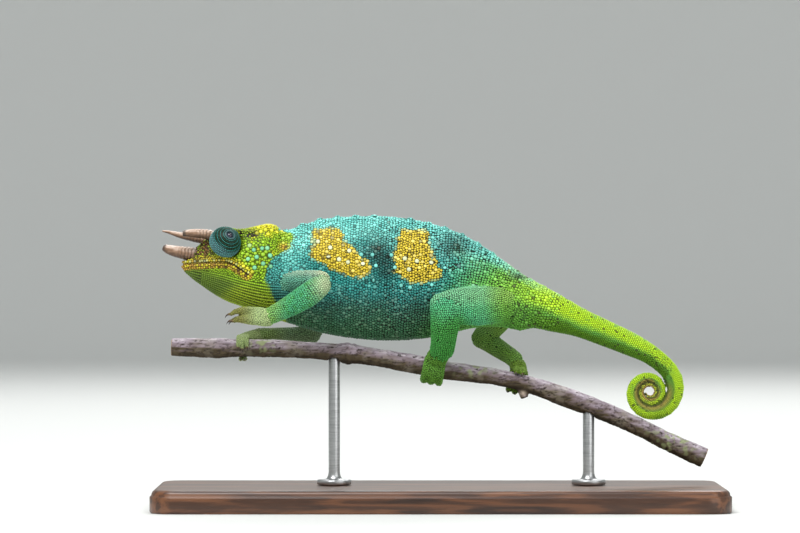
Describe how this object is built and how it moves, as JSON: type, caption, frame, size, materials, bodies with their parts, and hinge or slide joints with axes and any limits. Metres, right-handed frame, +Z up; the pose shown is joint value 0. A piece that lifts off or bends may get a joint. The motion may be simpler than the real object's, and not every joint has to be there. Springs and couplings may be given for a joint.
{
  "type": "three-horned chameleon",
  "caption": "Life-size still model of a male horned chameleon walking along a cut branch, its tail tip rolled in a spiral, held on a plain display stand.",
  "frame": {"origin": "centre of the underside of the stand's base, where it rests on a shelf or table", "axes": "+X from the animal's snout towards its rolled tail, along the perch; +Y towards the animal's right side; +Z up"},
  "size_m": [0.2, 0.076, 0.103],
  "materials": {
    "skin": "matt beaded scales, turquoise back, blue-green flank with two ochre patches, yellow-green head and tail",
    "eye": "glossy, dark violet",
    "horn": "ringed horn, satin",
    "claw": "satin dark horn",
    "bark": "rough grey-brown bark with lichen, pale cut ends",
    "stand_wood": "satin oiled dark wood",
    "stand_metal": "brushed"
  },
  "bodies": {
    "root": {"head": "skin", "lower_jaw": "skin", "neck": "skin", "torso_front": "skin", "torso_rear": "skin", "tail_root": "skin", "tail_upper": "skin", "tail_middle": "skin", "tail_coil_outer_right": "skin", "tail_coil_outer_left": "skin", "tail_coil_inner_right": "skin", "tail_coil_inner_left": "skin", "eye_turret_left": "skin", "eye_turret_right": "skin", "arm_left_upper": "skin", "arm_left_lower": "skin", "arm_left_hand_outer": "skin", "arm_left_hand_inner": "skin", "arm_right_upper": "skin", "arm_right_lower": "skin", "arm_right_hand_inner": "skin", "arm_right_hand_outer": "skin", "leg_left_upper": "skin", "leg_left_lower": "skin", "leg_left_foot_outer": "skin", "leg_left_foot_inner": "skin", "leg_right_upper": "skin", "leg_right_lower": "skin", "leg_right_foot_inner": "skin", "leg_right_foot_outer": "skin", "eyeball_left": "eye", "eyeball_right": "eye", "horn_nose": "horn", "horn_brow_left": "horn", "horn_brow_right": "horn", "perch": "bark", "stand_base": "stand_wood", "stand_rod_front": "stand_metal", "stand_rod_rear": "stand_metal"}
  },
  "joints": []
}
